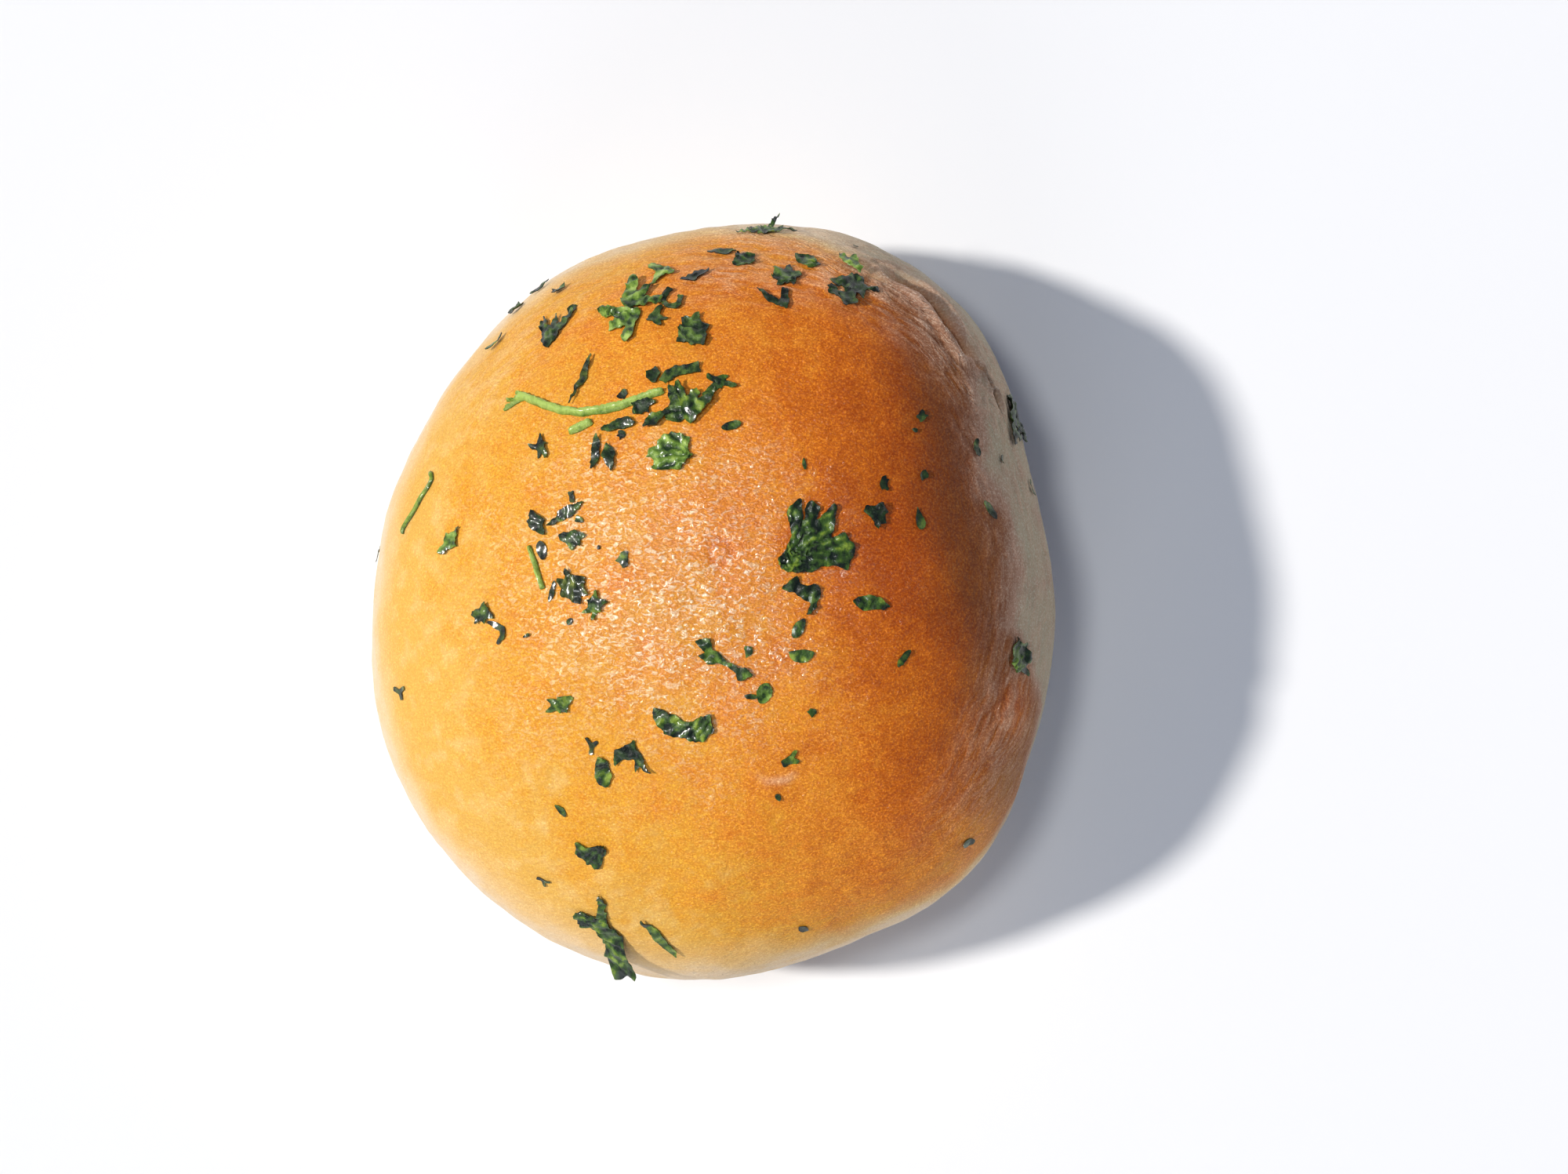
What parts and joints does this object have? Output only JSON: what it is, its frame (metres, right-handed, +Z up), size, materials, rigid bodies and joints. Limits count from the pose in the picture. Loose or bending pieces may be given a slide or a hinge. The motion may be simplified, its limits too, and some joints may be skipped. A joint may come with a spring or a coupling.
{
  "type": "closed kolache bun",
  "caption": "Closed round kolache: one golden baked bun with a glossy crust, a flat base and chopped parsley scattered over the crown.",
  "frame": {"origin": "on the flat base's plane, under the middle of the whole", "axes": "+Z up from the base to the crown, +Y along the bun's length, +X across its width"},
  "size_m": [0.08, 0.0904, 0.0507],
  "materials": {
    "crust": "satin",
    "parsley_dark": "satin",
    "parsley_green": "satin",
    "parsley_olive": "satin",
    "parsley_light": "satin"
  },
  "bodies": {
    "root": {"bun": "crust", "parsley_stem_1": "parsley_light", "parsley_stem_2": "parsley_olive", "parsley_stem_3": "parsley_light", "parsley_stem_4": "parsley_dark", "parsley_upper_left_1": "parsley_dark", "parsley_upper_left_2": "parsley_dark", "parsley_upper_left_3": "parsley_dark", "parsley_upper_left_4": "parsley_dark", "parsley_upper_left_5": "parsley_green", "parsley_top_1": "parsley_green", "parsley_top_2": "parsley_dark", "parsley_top_3": "parsley_green", "parsley_top_4": "parsley_green", "parsley_top_5": "parsley_dark", "parsley_top_6": "parsley_dark", "parsley_top_7": "parsley_dark", "parsley_top_8": "parsley_light", "parsley_top_9": "parsley_light", "parsley_top_10": "parsley_light", "parsley_top_11": "parsley_dark", "parsley_top_12": "parsley_dark", "parsley_top_13": "parsley_dark", "parsley_cluster_1": "parsley_dark", "parsley_cluster_2": "parsley_dark", "parsley_cluster_3": "parsley_green", "parsley_cluster_4": "parsley_dark", "parsley_cluster_5": "parsley_dark", "parsley_cluster_6": "parsley_green", "parsley_cluster_7": "parsley_green", "parsley_cluster_8": "parsley_light", "parsley_upper_right_1": "parsley_light", "parsley_upper_right_2": "parsley_dark", "parsley_upper_right_3": "parsley_dark", "parsley_upper_right_4": "parsley_dark", "parsley_left_1": "parsley_green", "parsley_left_2": "parsley_light", "parsley_left_3": "parsley_dark", "parsley_left_4": "parsley_dark", "parsley_left_5": "parsley_dark", "parsley_left_6": "parsley_dark", "parsley_left_7": "parsley_green", "parsley_left_8": "parsley_green", "parsley_left_9": "parsley_light", "parsley_left_10": "parsley_olive", "parsley_left_11": "parsley_green", "parsley_left_12": "parsley_dark", "parsley_centre_1": "parsley_green", "parsley_centre_2": "parsley_dark", "parsley_centre_3": "parsley_light", "parsley_right_1": "parsley_dark", "parsley_right_2": "parsley_green", "parsley_right_3": "parsley_dark", "parsley_lower_1": "parsley_green", "parsley_lower_2": "parsley_green", "parsley_lower_3": "parsley_green", "parsley_lower_4": "parsley_dark", "parsley_lower_5": "parsley_green", "parsley_lower_6": "parsley_green", "parsley_lower_7": "parsley_green"}
  },
  "joints": []
}
